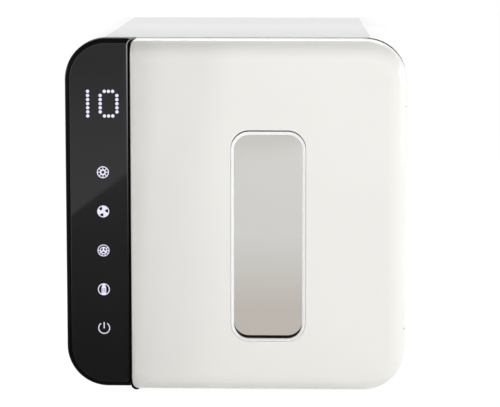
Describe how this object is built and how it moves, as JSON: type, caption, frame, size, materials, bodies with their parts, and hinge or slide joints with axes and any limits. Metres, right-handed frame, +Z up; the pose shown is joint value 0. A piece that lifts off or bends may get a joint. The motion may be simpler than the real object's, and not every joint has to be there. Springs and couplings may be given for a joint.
{
  "type": "bottle sterilizer",
  "caption": "Countertop cabinet sterilizer with rounded corners, a black touch-control strip, a side-hinged white door with a mirrored window, and a bright chamber with racks, lamp and fan.",
  "frame": {"origin": "centre of the footprint, on the surface that the feet stand on", "axes": "+Z up, the door and the controls face -Y, +X towards the hinge side"},
  "size_m": [0.33, 0.3302, 0.346],
  "materials": {
    "casing": "pale grey satin with a faint brushed streak",
    "warm_white": "warm white satin gloss",
    "gloss_black": "polished black",
    "black_glass": "smoked gloss face",
    "dark_plastic": "fine moulded grain",
    "white_plastic": "moulded satin",
    "bright_steel": "bright brushed",
    "zinc_steel": "zinc plated",
    "heater_metal": "plain",
    "mirror_glass": "half-silvered pane",
    "lamp_glass": "frosted tube",
    "silicone": "soft grey",
    "foot_rubber": "matte",
    "circuit_board": "solder mask",
    "display_light": "pale lit blocks",
    "filter_fleece": "felted fleece"
  },
  "bodies": {
    "cabinet": {"housing_shell": "casing", "front_frame": "dark_plastic", "rear_cover": "casing", "corner_post_1": "zinc_steel", "corner_post_2": "zinc_steel", "corner_post_3": "zinc_steel", "corner_post_4": "zinc_steel", "rear_screw_1": "zinc_steel", "rear_screw_2": "zinc_steel", "rear_screw_3": "zinc_steel", "rear_screw_4": "zinc_steel", "foot_1": "foot_rubber", "foot_2": "foot_rubber", "foot_3": "foot_rubber", "foot_4": "foot_rubber", "control_panel_housing": "gloss_black", "control_panel_glass": "black_glass", "display_board": "circuit_board", "led_matrix": "display_light", "touch_sensor_strip": "display_light", "main_board": "circuit_board", "power_supply": "dark_plastic", "mains_inlet": "dark_plastic", "chamber_liner": "bright_steel", "door_seal": "silicone", "rack_rail_left": "white_plastic", "rack_rail_right": "white_plastic", "uv_lamp": "lamp_glass", "lamp_holder_left": "white_plastic", "lamp_holder_right": "white_plastic", "air_duct": "dark_plastic", "heater": "heater_metal", "fan_frame": "dark_plastic", "fan_motor": "dark_plastic", "hinge_bracket_upper": "zinc_steel", "hinge_bracket_lower": "zinc_steel", "catch_plate": "zinc_steel", "door_sensor": "dark_plastic"},
    "door": {"door_shell": "warm_white", "door_liner": "white_plastic", "window_bezel": "warm_white", "window_glass": "mirror_glass", "door_magnet": "zinc_steel", "hinge_pin_upper": "zinc_steel", "hinge_pin_lower": "zinc_steel"},
    "fan": {"fan_rotor": "dark_plastic"},
    "filter": {"air_filter": "filter_fleece", "filter_cover": "casing"},
    "rack": {"upper_rack": "white_plastic"},
    "tray": {"drip_tray": "white_plastic", "lower_rack": "white_plastic"}
  },
  "joints": [
    {"name": "door_hinge", "type": "hinge", "parent": "cabinet", "child": "door", "pos_m": [0.156, -0.1461, 0.1755], "axis": [0, 0, 1], "range_deg": [0, 105]},
    {"name": "fan_spin", "type": "hinge", "parent": "cabinet", "child": "fan", "pos_m": [0.0276, 0.1331, 0.1755], "axis": [0, 1, 0], "continuous": true},
    {"name": "filter_pull", "type": "slide", "parent": "cabinet", "child": "filter", "axis": [0, 1, 0], "range_m": [0, 0.03]},
    {"name": "rack_slide", "type": "slide", "parent": "cabinet", "child": "rack", "axis": [0, -1, 0], "range_m": [0, 0.012]},
    {"name": "tray_slide", "type": "slide", "parent": "cabinet", "child": "tray", "axis": [0, -1, 0], "range_m": [0, 0.012]}
  ]
}
